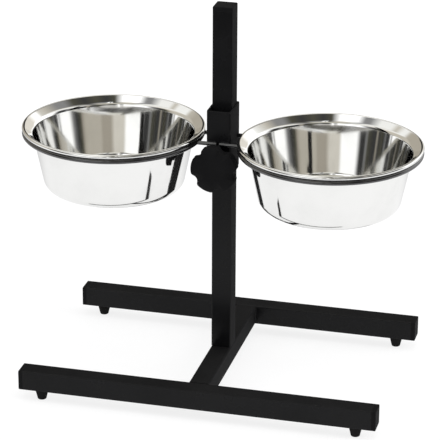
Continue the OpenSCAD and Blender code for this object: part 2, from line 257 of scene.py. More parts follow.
rays = put(sky, "LightPath").outputs
seen = mix_colour(sky, rays["Is Glossy Ray"], even_light, room)
direct = math_node(sky, "MAXIMUM", rays["Is Camera Ray"], rays["Is Transmission Ray"])
seen = mix_colour(sky, direct, seen, plain_white)
sky_light = put(sky, "Background", {"Color": seen, "Strength": 1.0})
put(sky, "OutputWorld", {"Surface": sky_light.outputs[0]})
print("Sky of", len(sky.nodes), "nodes")

# %% [markdown]
# ## The floor
# The stand is photographed on a white sheet. A floor that is only matt would look grey, and one
# that only glows would lose the shadow, so this one does both: most of its white is its own, and
# the rest is lit, which leaves a faint shadow under the base. Far away, where less light falls, its
# own white makes up for it. In reflections only, its glow is painted darker towards the camera and
# behind, a painted shade in what the metal reflects; the camera sees the floor white there.

# %% Floor
own_white, lit_white, matt_white = 0.8, (0.24, 0.24, 0.24, 1), (0.75, 0.75, 0.75, 1)


def new_paint(name):
    """An empty material, with its node tree and the Object coordinates in it."""
    paint = bpy.data.materials.new(name)
    paint.use_nodes = True
    tree = paint.node_tree
    tree.nodes.clear()
    return paint, tree, put(tree, "TexCoord").outputs["Object"]


def cover(tree, inputs, kind="BsdfPrincipled"):
    """Ends a material's tree with its shader."""
    put(tree, "OutputMaterial", {"Surface": put(tree, kind, inputs).outputs[0]})


deselect()
bpy.ops.mesh.primitive_circle_add(vertices=96, radius=9, fill_type="NGON")
floor = bpy.context.object
floor.name = "floor"
floor_paint, tree, place = new_paint("white_sheet")
place = put(tree, "Mapping", {"Vector": place, "Rotation": (0, 0, -view_azimuth)}).outputs[0]
forward = math_node(tree, "MULTIPLY", put(tree, "SeparateXYZ", {0: place}).outputs[1], -1.0)
from_middle = put(tree, "VectorMath", {0: place}, operation="LENGTH").outputs["Value"]
far_white = smooth_step(tree, from_middle, 0.6, 2.2, 1.0, 1.25)
# Painted reflected shade: in reflections only, the floor's glow dims towards the camera and behind.
glossy_floor_dimming = patch(tree, (forward, 0.42, 0.9, 1.0, 0.03), (forward, -0.9, -0.2, 0.4, 1.0))
rays = put(tree, "LightPath").outputs
glow = mix_value(tree, rays["Is Glossy Ray"], far_white, glossy_floor_dimming)
glow = math_node(tree, "MULTIPLY", glow, own_white)
glowing = put(tree, "Emission", {"Color": (1, 1, 1, 1), "Strength": glow}).outputs[0]
lit = put(tree, "BsdfDiffuse", {"Color": lit_white}).outputs[0]
shown = put(tree, "AddShader", {0: glowing, 1: lit}).outputs[0]
plain = put(tree, "BsdfDiffuse", {"Color": matt_white}).outputs[0]
looked_at = math_node(tree, "MAXIMUM", rays["Is Camera Ray"], rays["Is Glossy Ray"])
looked_at = math_node(tree, "MAXIMUM", looked_at, rays["Is Transmission Ray"])
cover(tree, {0: looked_at, 1: plain, 2: shown}, "MixShader")
floor.data.materials.append(floor_paint)
print("Floor", [round(x, 1) for x in floor.dimensions])

# %% [markdown]
# ## Lamps
# Three large soft lamps stand round the object as in a photographer's studio: one over it, one at
# each side. They are kept out of the reflections, because the sky already draws what the metal sees.

# %% Lamps
def soft_lamp(name, place, size, watts):
    """A square area lamp that points at the middle of the stand."""
    bpy.ops.object.light_add(type="AREA", location=place)
    lamp = bpy.context.object
    lamp.name = name
    lamp.data.size = size
    lamp.data.energy = watts
    lamp.rotation_mode = "QUATERNION"
    lamp.rotation_quaternion = (aim - Vector(place)).to_track_quat("-Z", "Y")
    lamp.visible_camera = False
    lamp.visible_glossy = False


soft_lamp("lamp_over", (0.2, -0.5, 2.4), 2.0, 22)
soft_lamp("lamp_right", (2.2, 0.2, 1.2), 1.4, 24)
soft_lamp("lamp_left", (-2.0, -1.2, 1.3), 1.4, 12)
bpy.context.scene.view_settings.view_transform = "Standard"

# %% [markdown]
# ## Effects that several finishes share
# Moulded plastic, rubber and powder coat all have a fine grain, a slow unevenness of their gloss,
# and a little dust on what faces up. Polished and plated metal has the fine lines of the wheel.
# Each of these is built once as a node group and then used with other numbers in each material.

# %% Grain
def new_group(name, numbers, outputs):
    """An empty shader node group that takes a vector and some numbers and puts out numbers."""
    group = bpy.data.node_groups.new(name, "ShaderNodeTree")
    group.interface.new_socket("Vector", in_out="INPUT", socket_type="NodeSocketVector")
    for labels, in_out in ((numbers, "INPUT"), (outputs, "OUTPUT")):
        for label in labels:
            group.interface.new_socket(label, in_out=in_out, socket_type="NodeSocketFloat")
    return group, group.nodes.new("NodeGroupInput").outputs, group.nodes.new("NodeGroupOutput").inputs


def noise(tree, vector, scale, detail=2.0, roughness=0.5):
    """A noise texture's grey value."""
    inputs = {"Vector": vector, "Scale": scale, "Detail": detail, "Roughness": roughness}
    return put(tree, "TexNoise", inputs).outputs[0]


fine_ratio, slow_ratio = 4.3, 0.02
grain, given, result = new_group("grain", ["Scale", "Fine"], ["Height", "Mottle"])
coarse = noise(grain, given["Vector"], given["Scale"])
fine = noise(grain, given["Vector"], math_node(grain, "MULTIPLY", given["Scale"], fine_ratio), 1.0)
grain.links.new(mix_value(grain, given["Fine"], coarse, fine), result["Height"])
slow = noise(grain, given["Vector"], math_node(grain, "MULTIPLY", given["Scale"], slow_ratio), 4.0, 0.6)
grain.links.new(smooth_step(grain, slow, 0.3, 0.7), result["Mottle"])
print("Group", grain.name, "of", len(grain.nodes), "nodes")

# %% Dust
speck_scale, drift_scale = 900.0, 28.0
dust, given, result = new_group("dust", ["Amount"], ["Mask"])
upward = put(dust, "SeparateXYZ", {0: put(dust, "NewGeometry").outputs["Normal"]}).outputs[2]
specks = noise(dust, given["Vector"], speck_scale, 3.0, 0.7)
drifts = noise(dust, given["Vector"], drift_scale, 3.0)
mask = patch(dust, (specks, 0.45, 0.75), (drifts, 0.35, 0.7), (upward, 0.75, 1.0))
dust.links.new(math_node(dust, "MULTIPLY", mask, given["Amount"]), result["Mask"])
print("Group", dust.name, "of", len(dust.nodes), "nodes")

# %% Lines of the polishing wheel
waver, haze_scale = 9.0, 16.0
polish, given, result = new_group("polish_lines", ["Pitch"], ["Height", "Haze"])
spot = put(polish, "SeparateXYZ", {0: given["Vector"]}).outputs
flat_spot = put(polish, "CombineXYZ", {0: spot[0], 1: spot[1]}).outputs[0]
outwards = put(polish, "VectorMath", {0: flat_spot}, operation="LENGTH").outputs["Value"]
along_side = math_node(polish, "ADD", outwards, spot[2])
rings = math_node(polish, "DIVIDE", along_side, given["Pitch"])
drift = put(polish, "VectorMath", {0: given["Vector"], "Scale": waver}, operation="SCALE").outputs[0]
ring_spot = put(polish, "CombineXYZ", {2: rings}).outputs[0]
ring_spot = put(polish, "VectorMath", {0: drift, 1: ring_spot}, operation="ADD").outputs[0]
polish.links.new(noise(polish, ring_spot, 1.0, 2.0, 0.6), result["Height"])
haze = noise(polish, given["Vector"], haze_scale, 4.0, 0.6)
polish.links.new(smooth_step(polish, haze, 0.35, 0.75), result["Haze"])
print("Group", polish.name, "of", len(polish.nodes), "nodes")

# %% [markdown]
# ## Powder coat, plastic and rubber
# The frame is baked powder coat: black, with the faint orange peel of the melted powder, satin where
# one faces it squarely and matt where one looks along it. The hoops have the same coat, but glossier.
# Knob, plugs and cap are moulded plastic with a finer, duller grain, and the feet are rubber, duller
# still. One could draw four node trees, but all four finishes are one recipe with other numbers.

# %% Four black finishes
dust_tone, dust_dull = (0.2, 0.19, 0.17), 0.3


def bump(tree, height, distance, **under):
    """A bump's normal: a texture's height, from 0 to 1, times a distance."""
    inputs = {"Strength": 1.0, "Distance": distance, "Height": height, **under}
    return put(tree, "Bump", inputs).outputs[0]


def black_finish(name, low, high, gloss, graze, shine, scale, fine, rise, dusty, bend=1.45):
    """A dark finish: its colour goes from low to high, its roughness through the range gloss, and to
    graze where it is seen edge on. Shine is the specular level and bend the index of refraction.
    The grain has a scale per metre, a share of fine grain and a rise, and dusty is the dust."""
    paint, tree, place = new_paint(name)
    skin = put(tree, "Group", {"Vector": place, "Scale": scale, "Fine": fine}, node_tree=grain).outputs
    fallen = put(tree, "Group", {"Vector": place, "Amount": dusty}, node_tree=dust).outputs["Mask"]
    tone = mix_colour(tree, skin["Mottle"], low, high)
    tone = mix_colour(tree, fallen, tone, dust_tone)
    rough = smooth_step(tree, skin["Mottle"], 0.0, 1.0, *gloss)
    rough = math_node(tree, "ADD", rough, math_node(tree, "MULTIPLY", fallen, dust_dull))
    turned_away = put(tree, "LayerWeight", {"Blend": 0.5}).outputs["Facing"]
    rough = mix_value(tree, smooth_step(tree, turned_away, 0.25, 0.6), rough, graze)
    cover(tree, {"Base Color": tone, "Roughness": rough, "Normal": bump(tree, skin["Height"], rise),
                 "IOR": bend, "Specular IOR Level": shine})
    return paint


powder_coat = black_finish(
    "powder_coat", (0.005, 0.005, 0.0054), (0.0074, 0.0074, 0.0079), gloss=(0.22, 0.3), graze=0.9,
    shine=0.17, scale=700.0, fine=0.25, rise=0.012 * mm, dusty=0.03)
black_plastic = black_finish(
    "black_plastic", (0.005, 0.005, 0.0055), (0.007, 0.007, 0.0075), gloss=(0.5, 0.6), graze=0.8,
    shine=0.1, scale=1900.0, fine=0.5, rise=0.03 * mm, dusty=0.04)
foot_rubber = black_finish(
    "foot_rubber", (0.007, 0.007, 0.007), (0.010, 0.0097, 0.0095), gloss=(0.74, 0.86), graze=0.9,
    shine=0.15, scale=1300.0, fine=0.6, rise=0.05 * mm, dusty=0.06)
ring_coat = black_finish(
    "ring_coat", (0.0055, 0.0055, 0.006), (0.008, 0.008, 0.0085), gloss=(0.1, 0.15), graze=0.2,
    shine=0.5, scale=700.0, fine=0.25, rise=0.01 * mm, dusty=0.03, bend=1.85)
print("Finishes:", powder_coat.name, ring_coat.name, black_plastic.name, foot_rubber.name)

# %% [markdown]
# ## Polished steel, zinc plate and nylon
# The bowls are stainless sheet, spun smooth and polished to a mirror. A perfect mirror looks false:
# the wheel leaves faint rings, and the sheet is never quite even, so both go into the bump. Screws
# and bolts are zinc plated and duller. The clamp's pad is nylon, the colour of weak tea.

# %% Metals
wave_scale = 22.0


def metal_finish(name, low, high, gloss, pitch, line_depth, wave_depth, middle):
    """A metal: colour from low to high, roughness from gloss, polish rings round a middle point."""
    paint, tree, place = new_paint(name)
    centred = put(tree, "Mapping", {"Vector": place, "Location": -Vector(middle)}).outputs[0]
    lines = put(tree, "Group", {"Vector": centred, "Pitch": pitch}, node_tree=polish).outputs
    tone = mix_colour(tree, lines["Haze"], low, high)
    rough = smooth_step(tree, lines["Haze"], 0.0, 1.0, *gloss)
    uneven = bump(tree, noise(tree, place, wave_scale, 1.0), wave_depth)
    bumps = bump(tree, lines["Height"], line_depth, Normal=uneven)
    cover(tree, {"Base Color": tone, "Roughness": rough, "Metallic": 1.0, "Normal": bumps})
    return paint


def middle_of(node):
    """The middle of a CAD node's box."""
    return [(low + high) / 2 for low, high in zip(*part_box(node))]


bowl_low, bowl_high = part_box("left_bowl")
left_middle = Vector((*middle_of("left_bowl")[:2], bowl_high.z))
right_middle = Vector((-left_middle.x, left_middle.y, left_middle.z))
bowl_sides = (("left", left_middle), ("right", right_middle))
steel = {}
for side, middle in bowl_sides:
    steel[side] = metal_finish(
        "polished_steel_" + side, (0.83, 0.83, 0.82), (0.78, 0.78, 0.77), gloss=(0.05, 0.11),
        pitch=0.35 * mm, line_depth=0.0006 * mm, wave_depth=0.05 * mm, middle=middle)
zinc_plate = metal_finish(
    "zinc_plate", (0.60, 0.62, 0.64), (0.50, 0.52, 0.53), gloss=(0.28, 0.42),
    pitch=0.6 * mm, line_depth=0.004 * mm, wave_depth=0.02 * mm, middle=(0, 0, 0))
print("Metals:", steel["left"].name, steel["right"].name, zinc_plate.name)

# %% Nylon
nylon, tree, place = new_paint("nylon")
skin = put(tree, "Group", {"Vector": place, "Scale": 1500.0, "Fine": 0.4}, node_tree=grain).outputs
tone = mix_colour(tree, skin["Mottle"], (0.70, 0.66, 0.57), (0.76, 0.73, 0.66))
cover(tree, {"Base Color": tone, "Normal": bump(tree, skin["Height"], 0.02 * mm), "Roughness": 0.45})
print("All finishes:", [paint.name for paint in bpy.data.materials if paint.users])

# %% [markdown]
# ## Tools of the bench
# Blender's operators act on whatever is selected, so the helpers below start from a clean selection
# and pick faces or edges by their place. Picking them by number would be shorter, but the numbers
# change with every step before.

# %% Helpers for selecting
touch = 0.001 * mm


def select_only(piece):
    """Selects one object and makes it the active one."""
    deselect()
    piece.select_set(True)
    bpy.context.view_layer.objects.active = piece


def named(name):
    """Names the object that was just added, and its mesh."""
    piece = bpy.context.object
    piece.name = name
    piece.data.name = name
    return piece


def settle(piece):
    """Moves an object's place, turn and size into its mesh."""
    select_only(piece)
    bpy.ops.object.transform_apply(location=True, rotation=True, scale=True)


def block(name, size, middle):
    """Adds a box of a size round its middle."""
    deselect()
    bpy.ops.mesh.primitive_cube_add(size=1, location=middle)
    piece = named(name)
    piece.scale = size
    settle(piece)
    return piece


def edit(piece):
    """Opens a piece in edit mode with nothing selected."""
    select_only(piece)
    bpy.ops.object.mode_set(mode="EDIT")
    bpy.ops.mesh.select_all(action="DESELECT")


def select_mesh():
    """Selects the whole mesh in edit mode."""
    bpy.ops.mesh.select_all(action="SELECT")


def done():
    """Back to object mode."""
    bpy.ops.object.mode_set(mode="OBJECT")


def pick(piece, kind, wanted):
    """Selects the faces or edges of a piece in edit mode that wanted(element) is true for."""
    bpy.ops.mesh.select_mode(type={"faces": "FACE", "edges": "EDGE"}[kind])
    bpy.ops.mesh.select_all(action="DESELECT")
    mesh = bmesh.from_edit_mesh(piece.data)
    mesh.normal_update()
    for element in getattr(mesh, kind):
        if wanted(element):
            element.select_set(True)
    mesh.select_flush_mode()
    bmesh.update_edit_mesh(piece.data)


print("Two points count as one when they are", touch / mm, "mm apart")

# %% [markdown]
# ## Changing and finishing a piece
# The next helpers do the work that comes up on every piece: extrude, round an edge, join or cut
# with another solid, drill, and copy. The last one finishes a piece: it smooths its shading, gives
# it its finish, and lets it ride on the CAD body that it belongs to.

# %% Helpers for changing a piece
spare = 1.0 * mm


def extrude(offset):
    """Extrudes what is selected by an offset."""
    bpy.ops.mesh.extrude_region_move(TRANSFORM_OT_translate={"value": offset})


def round_edges(width, segments):
    """Bevels the selected edges."""
    bpy.ops.mesh.bevel(offset=width, segments=segments, affect="EDGES", clamp_overlap=False)


def round_border(width, segments):
    """Bevels the edges round the selected faces."""
    bpy.ops.mesh.region_to_loop()
    round_edges(width, segments)


def face_outwards():
    """Points the faces of the whole mesh outwards."""
    select_mesh()
    bpy.ops.mesh.normals_make_consistent(inside=False)


def apply_modifier(piece, kind, **options):
    """Adds a modifier and applies it at once."""
    select_only(piece)
    modifier = piece.modifiers.new(kind.lower(), kind)
    for key, value in options.items():
        setattr(modifier, key, value)
    bpy.ops.object.modifier_apply(modifier=modifier.name)


def combine(piece, tool, operation):
    """Joins a piece with a tool object, cuts the tool out of it, or keeps what they share."""
    apply_modifier(piece, "BOOLEAN", object=tool, operation=operation, solver="EXACT")
    bpy.data.objects.remove(tool)
    edit(piece)
    select_mesh()
    bpy.ops.mesh.dissolve_degenerate(threshold=touch)
    done()


def drill(piece, start, direction, radius, depth):
    """Cuts a round hole that begins at start and goes depth along direction."""
    direction = Vector(direction)
    deselect()
    bpy.ops.mesh.primitive_cylinder_add(vertices=48, radius=radius, depth=depth,
                                        location=Vector(start) + direction * depth / 2)
    bit = named("drill")
    bit.rotation_mode = "QUATERNION"
    bit.rotation_quaternion = direction.to_track_quat("Z", "Y")
    settle(bit)
    combine(piece, bit, "DIFFERENCE")


print("A cutter reaches", spare / mm, "mm past what it cuts")


# %% Helpers for copying and finishing
def move(piece, matrix):
    """Moves a piece by a matrix, with its new place in its mesh."""
    piece.matrix_world = matrix @ piece.matrix_world
    settle(piece)
    return piece


def copy_to(source, name, matrix):
    """A copy of a piece with its own mesh, moved by a matrix."""
    select_only(source)
    bpy.ops.object.duplicate(linked=False)
    return move(named(name), matrix)


def finish(piece, paint, body, node=None, angle=35):
    """Smooth shading, finish, the body that the piece rides on and the node that it stands for."""
    select_only(piece)
    bpy.ops.object.shade_smooth_by_angle(angle=math.radians(angle))
    apply_modifier(piece, "WEIGHTED_NORMAL", keep_sharp=True, weight=100)
    piece.data.materials.clear()
    piece.data.materials.append(paint)
    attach(piece, body)
    if node:
        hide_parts(node)
    print(f"{piece.name}: {len(piece.data.polygons)} faces,", in_mm(piece.dimensions), "mm")


print("Bench ready")

# %% [markdown]
# ## Square tube
# Base and post are cut from one square tube with rounded corners. A box alone would have knife
# edges, and a curve with a bevel would be hard to cap. So each tube starts as a box: both ends are
# inset by the wall and bridged, which makes the bore, and then the long edges are bevelled, the
# outer ones wide and the inner ones narrow. The saw cut at the ends is broken a little too.

# %% A tube
tube_wall = 1.5 * mm
tube_corner = 2.0 * mm
burr = 0.35 * mm


def hollow_box(name, low, high, along, wall, corner):
    """A rectangular tube between two corners, open along one axis (0, 1 or 2)."""
    size, middle = high - low, (low + high) / 2
    tube = block(name, size, middle)
    across = [axis for axis in range(3) if axis != along]

    def long_edge(edge, inset):
        ends = [vert.co - middle for vert in edge.verts]
        at_corner = all(abs(abs(end[axis]) - size[axis] / 2 + inset) < touch
                        for end in ends for axis in across)
        return at_corner and abs(ends[0][along] - ends[1][along]) > size[along] / 2

    def end_edge(edge):
        ends = [face for face in edge.link_faces if abs(face.normal[along]) > 0.9]
        sides = [face for face in edge.link_faces if abs(face.normal[along]) < 0.1]
        return bool(ends and sides) and sides[0].normal.dot(sides[0].calc_center_median() - middle) > 0

    edit(tube)
    pick(tube, "faces", lambda face: abs(face.normal[along]) > 0.9)
    bpy.ops.mesh.inset(thickness=wall)
    bpy.ops.mesh.bridge_edge_loops()
    pick(tube, "edges", lambda edge: long_edge(edge, 0))
    round_edges(corner, 6)
    pick(tube, "edges", lambda edge: long_edge(edge, wall))
    round_edges(max(corner - wall, burr), 3)
    pick(tube, "edges", end_edge)
    round_edges(burr, 2)
    done()
    return tube


print("Tube with a wall of", tube_wall / mm, "mm and corners of", tube_corner / mm, "mm")

# %% Bars, cross bar and post
foot_hole, bolt_hole = 4.0 * mm, 4.4 * mm
through_tube = 27 * mm
up_axis = Vector((0, 0, 1))
rows, sides = ("front", "rear"), ("left", "right")
for row in rows:
    node = row + "_bar"
    bar = hollow_box(node + "_tube", *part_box(node), 0, tube_wall, tube_corner)
    for side in sides:
        x, y = middle_of(f"{row}_{side}_foot")[:2]
        drill(bar, (x, y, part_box(node)[0].z - spare), up_axis, foot_hole, tube_wall + 2 * spare)
    finish(bar, powder_coat, "base", node)

cross = hollow_box("cross_bar_tube", *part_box("cross_bar"), 1, tube_wall, tube_corner)
drill(cross, (0, 0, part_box("cross_bar")[0].z - spare), up_axis, bolt_hole, through_tube)
finish(cross, powder_coat, "base", "cross_bar")
post = hollow_box("post_tube", *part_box("post"), 2, tube_wall, tube_corner)
finish(post, powder_coat, "base", "post")

# %% [markdown]
# ## Plugs and cap
# Five plastic plugs close the open tube ends. A plug is a square head that is as wide as the tube
# and a hollow shank with fins that grip inside it. One plug is modelled, lying on the origin, from a
# box whose underside is extruded down in steps: wide for a fin, narrow between the fins. Fins that
# are joined on would do too, but the steps leave cleaner faces. The other plugs are copies, turned
# to their tube's end.

# %% Plug's head
head_low, head_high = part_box("post_cap")
post_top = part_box("post")[1].z
head_w, head_h = head_high.x - head_low.x, head_high.z - post_top
head_round, crown_in, crown_h = 0.9 * mm, 4 * mm, 0.15 * mm
flat_w = head_w - 2 * head_round


def step_on(depth, width, last):
    """Extrudes the selected face to a depth and scales it to a width: last is where it was."""
    extrude((0, 0, depth - last[0]))
    grow = width / last[1]
    bpy.ops.transform.resize(value=(grow, grow, 1), center_override=(0, 0, depth))
    return depth, width


plug = block("plug_pattern", (head_w, head_w, head_h), (0, 0, head_h / 2))
edit(plug)
pick(plug, "edges", lambda edge: abs(edge.verts[0].co.z - edge.verts[1].co.z) > head_h / 2)
round_edges(tube_corner, 6)
pick(plug, "faces", lambda face: face.normal.z > 0.9)
round_border(head_round, 5)
pick(plug, "faces", lambda face: face.normal.z > 0.99)
step_on(head_h, flat_w - crown_in, (head_h, flat_w))
bpy.ops.transform.translate(value=(0, 0, crown_h))
print("Head", in_mm((head_w, head_h)), "mm")

# %% Plug's shank, and the copies
shank_w, fin_w, shank_wall = 19.8 * mm, 21.8 * mm, 1.6 * mm
plug_depth, fin_t, fin_count, bore_stop = 14 * mm, 1.2 * mm, 3, 0.5 * mm

pick(plug, "faces", lambda face: face.normal.z < -0.99)
last = step_on(0.0, shank_w, (0.0, head_w))
for number in range(1, fin_count + 1):
    fin_foot = -number * plug_depth / (fin_count + 0.5)
    fin_head = fin_foot + fin_t
    for depth, width in ((fin_head, shank_w), (fin_head, fin_w), (fin_foot, fin_w), (fin_foot, shank_w)):
        last = step_on(depth, width, last)
last = step_on(-plug_depth, shank_w, last)
last = step_on(-plug_depth, shank_w - 2 * shank_wall, last)
step_on(-bore_stop, shank_w - 2 * shank_wall, last)
done()

cap = copy_to(plug, "post_cap_plug", Matrix.Translation((0, 0, post_top)))
finish(cap, black_plastic, "base", "post_cap")
for row in rows:
    low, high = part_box(row + "_bar")
    y, z = middle_of(row + "_bar")[1:]
    for side, x, angle in (("left", low.x, -90), ("right", high.x, 90)):
        place = Matrix.Translation((x, y, z)) @ Matrix.Rotation(math.radians(angle), 4, "Y")
        piece = copy_to(plug, f"{row}_{side}_end_plug", place)
        finish(piece, black_plastic, "base", f"{row}_{side}_plug")
bpy.data.objects.remove(plug)

# %% [markdown]
# ## Turning
# Feet, bowls, washers and screws are round, and round pieces are easiest to turn: draw half of the
# section and spin it. The section is drawn here as one would draw it by hand, from a single point
# that is extruded from place to place. After the spin, the doubled points of the seam and of the
# middle are merged and the normals are made to point outwards.

# %% Turned pieces
def draw_chain(name, points):
    """Draws a chain of edges from point to point and leaves it selected in edit mode."""
    deselect()
    bpy.ops.mesh.primitive_plane_add(size=mm)
    piece = named(name)
    bpy.ops.object.mode_set(mode="EDIT")
    bpy.ops.mesh.select_mode(type="VERT")
    select_mesh()
    bpy.ops.mesh.merge(type="CENTER")
    bpy.ops.transform.translate(value=points[0])
    for start, end in zip(points, points[1:]):
        extrude(end - start)
    select_mesh()
    return piece


def turn(name, section, steps):
    """Spins a section of (radius, height) points round the upright axis through the origin."""
    piece = draw_chain(name, [Vector((radius, 0, height)) for radius, height in section])
    bpy.ops.mesh.spin(steps=steps, angle=math.tau, center=(0, 0, 0), axis=(0, 0, 1))
    select_mesh()
    bpy.ops.mesh.remove_doubles(threshold=touch)
    face_outwards()
    done()
    return piece


def arc(middle, radius, start, end, step=6):
    """Points of an arc round a middle, from one angle in degrees to another."""
    count = max(2, math.ceil(abs(end - start) / step))
    angles = [math.radians(start + (end - start) * i / count) for i in range(count + 1)]
    return [(middle[0] + radius * math.cos(a), middle[1] + radius * math.sin(a)) for a in angles]


print("Lathe ready")

# %% [markdown]
# ## Feet
# Four tapered rubber feet are pushed into holes under the bars. Their section is a cone with a
# rounded sole and a small lip against the bar, and above it the stem with its barb, which snaps in
# behind the tube's wall. A primitive cone has no lip and no barb, so the foot is turned.

# %% Feet
foot_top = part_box("front_left_foot")[1].z
bar_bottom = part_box("front_bar")[0].z
dish_r, dish_edge_r, dish_h = 2.6 * mm, 3.0 * mm, 0.35 * mm
sole_r, top_r, sole_edge, top_edge = 5.5 * mm, 8.5 * mm, 1.2 * mm, 0.7 * mm
stem_r, barb_r, barb_tip_r, barb_h = 3.9 * mm, 4.7 * mm, 3.2 * mm, 0.5 * mm
barb_z = bar_bottom + tube_wall + 0.1 * mm
foot_section = [(0, dish_h), (dish_r, dish_h), (dish_edge_r, 0)]
foot_section += arc((sole_r - sole_edge, sole_edge), sole_edge, -90, -10, 10)
foot_section += arc((top_r - top_edge, bar_bottom - top_edge), top_edge, -10, 90, 12)
foot_section += [(stem_r, bar_bottom), (stem_r, barb_z), (barb_r, barb_z), (barb_r, barb_z + barb_h),
                 (barb_tip_r, foot_top), (0, foot_top)]
foot = turn("foot_pattern", foot_section, 64)
for row in rows:
    for side in sides:
        node = f"{row}_{side}_foot"
        piece = copy_to(foot, f"{row}_{side}_rubber_foot", Matrix.Translation((*middle_of(node)[:2], 0)))
        finish(piece, foot_rubber, "base", node)
bpy.data.objects.remove(foot)

# %% [markdown]
# ## Bowls
# A bowl is drawn from one round of sheet steel: a flat floor, a wall that leans out, a shoulder, a
# flared lip, and a rim that is rolled over so that no sharp edge is left. Its section is the sheet
# itself, inside face and outside face, so that the finished mesh is a closed solid with a real
# thickness. The arcs are drawn much finer than on the CAD, because a mirror shows every facet.

# %% Bowls
bowl_r = (bowl_high.x - bowl_low.x) / 2
bowl_depth = bowl_high.z - bowl_low.z
sheet_t, roll_r = 0.8 * mm, 2.5 * mm
lip_w, lip_h, wall_lean = 13.5 * mm, 8 * mm, 14.5 * mm
shoulder_r, floor_r, roll_open = 8 * mm, 14 * mm, 78
roll_x, shoulder_x = bowl_r - roll_r, bowl_r - lip_w
lip_run, lip_climb = roll_x - shoulder_x, lip_h - roll_r
roll_share = math.asin(roll_r / math.hypot(lip_run, lip_climb))
lip_a = math.degrees(math.atan2(lip_climb, lip_run) + roll_share)
wall_a = math.degrees(math.atan2(bowl_depth - sheet_t - lip_h, wall_lean))


def bowl_side(depth):
    """The sheet's section from the floor's middle to the end of the roll, at a depth in the sheet."""
    lean, turn_out = math.radians(wall_a), math.radians((wall_a - lip_a) / 2)
    floor_z = sheet_t - bowl_depth
    floor_c = (shoulder_x - wall_lean - floor_r * math.tan(lean / 2), floor_z + floor_r)
    back = shoulder_r * math.tan(turn_out)
    wall_end = (shoulder_x - back * math.cos(lean), -lip_h - back * math.sin(lean))
    shoulder_c = (wall_end[0] + shoulder_r * math.sin(lean), wall_end[1] - shoulder_r * math.cos(lean))
    side = [(0, floor_z - depth)]
    side += arc(floor_c, floor_r + depth, -90, wall_a - 90, 5)
    side += arc(shoulder_c, shoulder_r - depth, 90 + wall_a, 90 + lip_a, 2)
    side += arc((roll_x, -roll_r), roll_r - depth, 90 + lip_a, roll_open + lip_a - 270, 9)
    return side


bowl = turn("bowl_pattern", bowl_side(0) + bowl_side(sheet_t)[::-1], 240)
for side, middle in bowl_sides:
    piece = copy_to(bowl, side + "_steel_bowl", Matrix.Translation(middle))
    finish(piece, steel[side], side + "_bowl", side + "_bowl")
bpy.data.objects.remove(bowl)
print("Lip at", round(lip_a, 1), "degrees, wall at", round(wall_a, 1))

# %% [markdown]
# ## Sleeve
# The carriage's sleeve is a short rectangular tube, deeper than the post so that the clamp has room
# in front of it. A box with a hole cut through it would do, but the tube's helper already rounds
# every edge, so it is made like the other tubes, and drilled for the clamp screw.

# %% Sleeve
sleeve_low, sleeve_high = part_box("sleeve")
sleeve_wall, sleeve_corner = 2.0 * mm, 2.8 * mm
screw_z = middle_of("clamp_screw")[2]
to_viewer = Vector((0, -1, 0))
sleeve = hollow_box("carriage_sleeve", sleeve_low, sleeve_high, 2, sleeve_wall, sleeve_corner)
hole_start = (0, sleeve_low.y + sleeve_wall + spare, screw_z)
drill(sleeve, hole_start, to_viewer, bolt_hole, sleeve_wall + 2 * spare)
finish(sleeve, powder_coat, "carriage", "sleeve")

# %% [markdown]
# ## Rings
# Each bowl hangs by its rolled rim on a hoop of round rod. Two short rods tie the hoop to the sleeve,
# one across the front and one at the side. A torus makes the hoop, cylinders with rounded ends make
# the ties, and they are joined into one solid, as the weld joins the real ones. One bent curve could
# draw it all, but then hoop and ties would need the same thickness.

# %% Rings
rod_r, tie_r, tie_round = 3.0 * mm, 2.5 * mm, 0.7 * mm
ring_z = middle_of("left_ring")[2]
hoop_r = left_middle.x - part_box("left_ring")[0].x - rod_r
front_tie_y = sleeve_low.y - 0.05 * mm - tie_r
rear_tie_y = 5 * mm
front_tie_end, rear_tie_end = -1.5 * mm, sleeve_low.x


def tie(name, x_end, y):
    """A rod along X from the middle of the hoop's rod to x_end, with a rounded free end."""
    x_start = left_middle.x + math.sqrt(hoop_r ** 2 - (y - left_middle.y) ** 2)
    deselect()
    bpy.ops.mesh.primitive_cylinder_add(vertices=40, radius=tie_r, depth=x_end - x_start,
                                        location=((x_start + x_end) / 2, y, ring_z),
                                        rotation=(0, math.radians(90), 0))
    rod = named(name)
    settle(rod)
    edit(rod)
    pick(rod, "faces", lambda face: face.normal.x > 0.9)
    round_border(tie_round, 4)
    done()
    return rod


deselect()
bpy.ops.mesh.primitive_torus_add(location=(left_middle.x, left_middle.y, ring_z), major_segments=192,
                                 minor_segments=24, major_radius=hoop_r, minor_radius=rod_r)
hoop = named("left_wire_ring")
settle(hoop)
combine(hoop, tie("front_tie", front_tie_end, front_tie_y), "UNION")
combine(hoop, tie("rear_tie", rear_tie_end, rear_tie_y), "UNION")
other_hoop = copy_to(hoop, "right_wire_ring", Matrix.Scale(-1, 4, (1, 0, 0)))
edit(other_hoop)
face_outwards()
done()
finish(hoop, ring_coat, "carriage", "left_ring")
finish(other_hoop, ring_coat, "carriage", "right_ring")

# %% [markdown]
# ## Nut, bolt and washer
# A hexagon nut or bolt head has its corners turned down to a cone. The same can be done here: a
# six-sided prism and a turned blank with chamfered ends are intersected, and the cone leaves the
# curved edge that every real nut has. The blank is turned in an odd number of steps, and the prism is
# longer than the blank, so that no edges fall on each other and the cut comes out closed.

# %% Nut
nut_flats, face_share, chamfer_a = 13 * mm, 0.95, math.radians(30)
blank_steps = 71


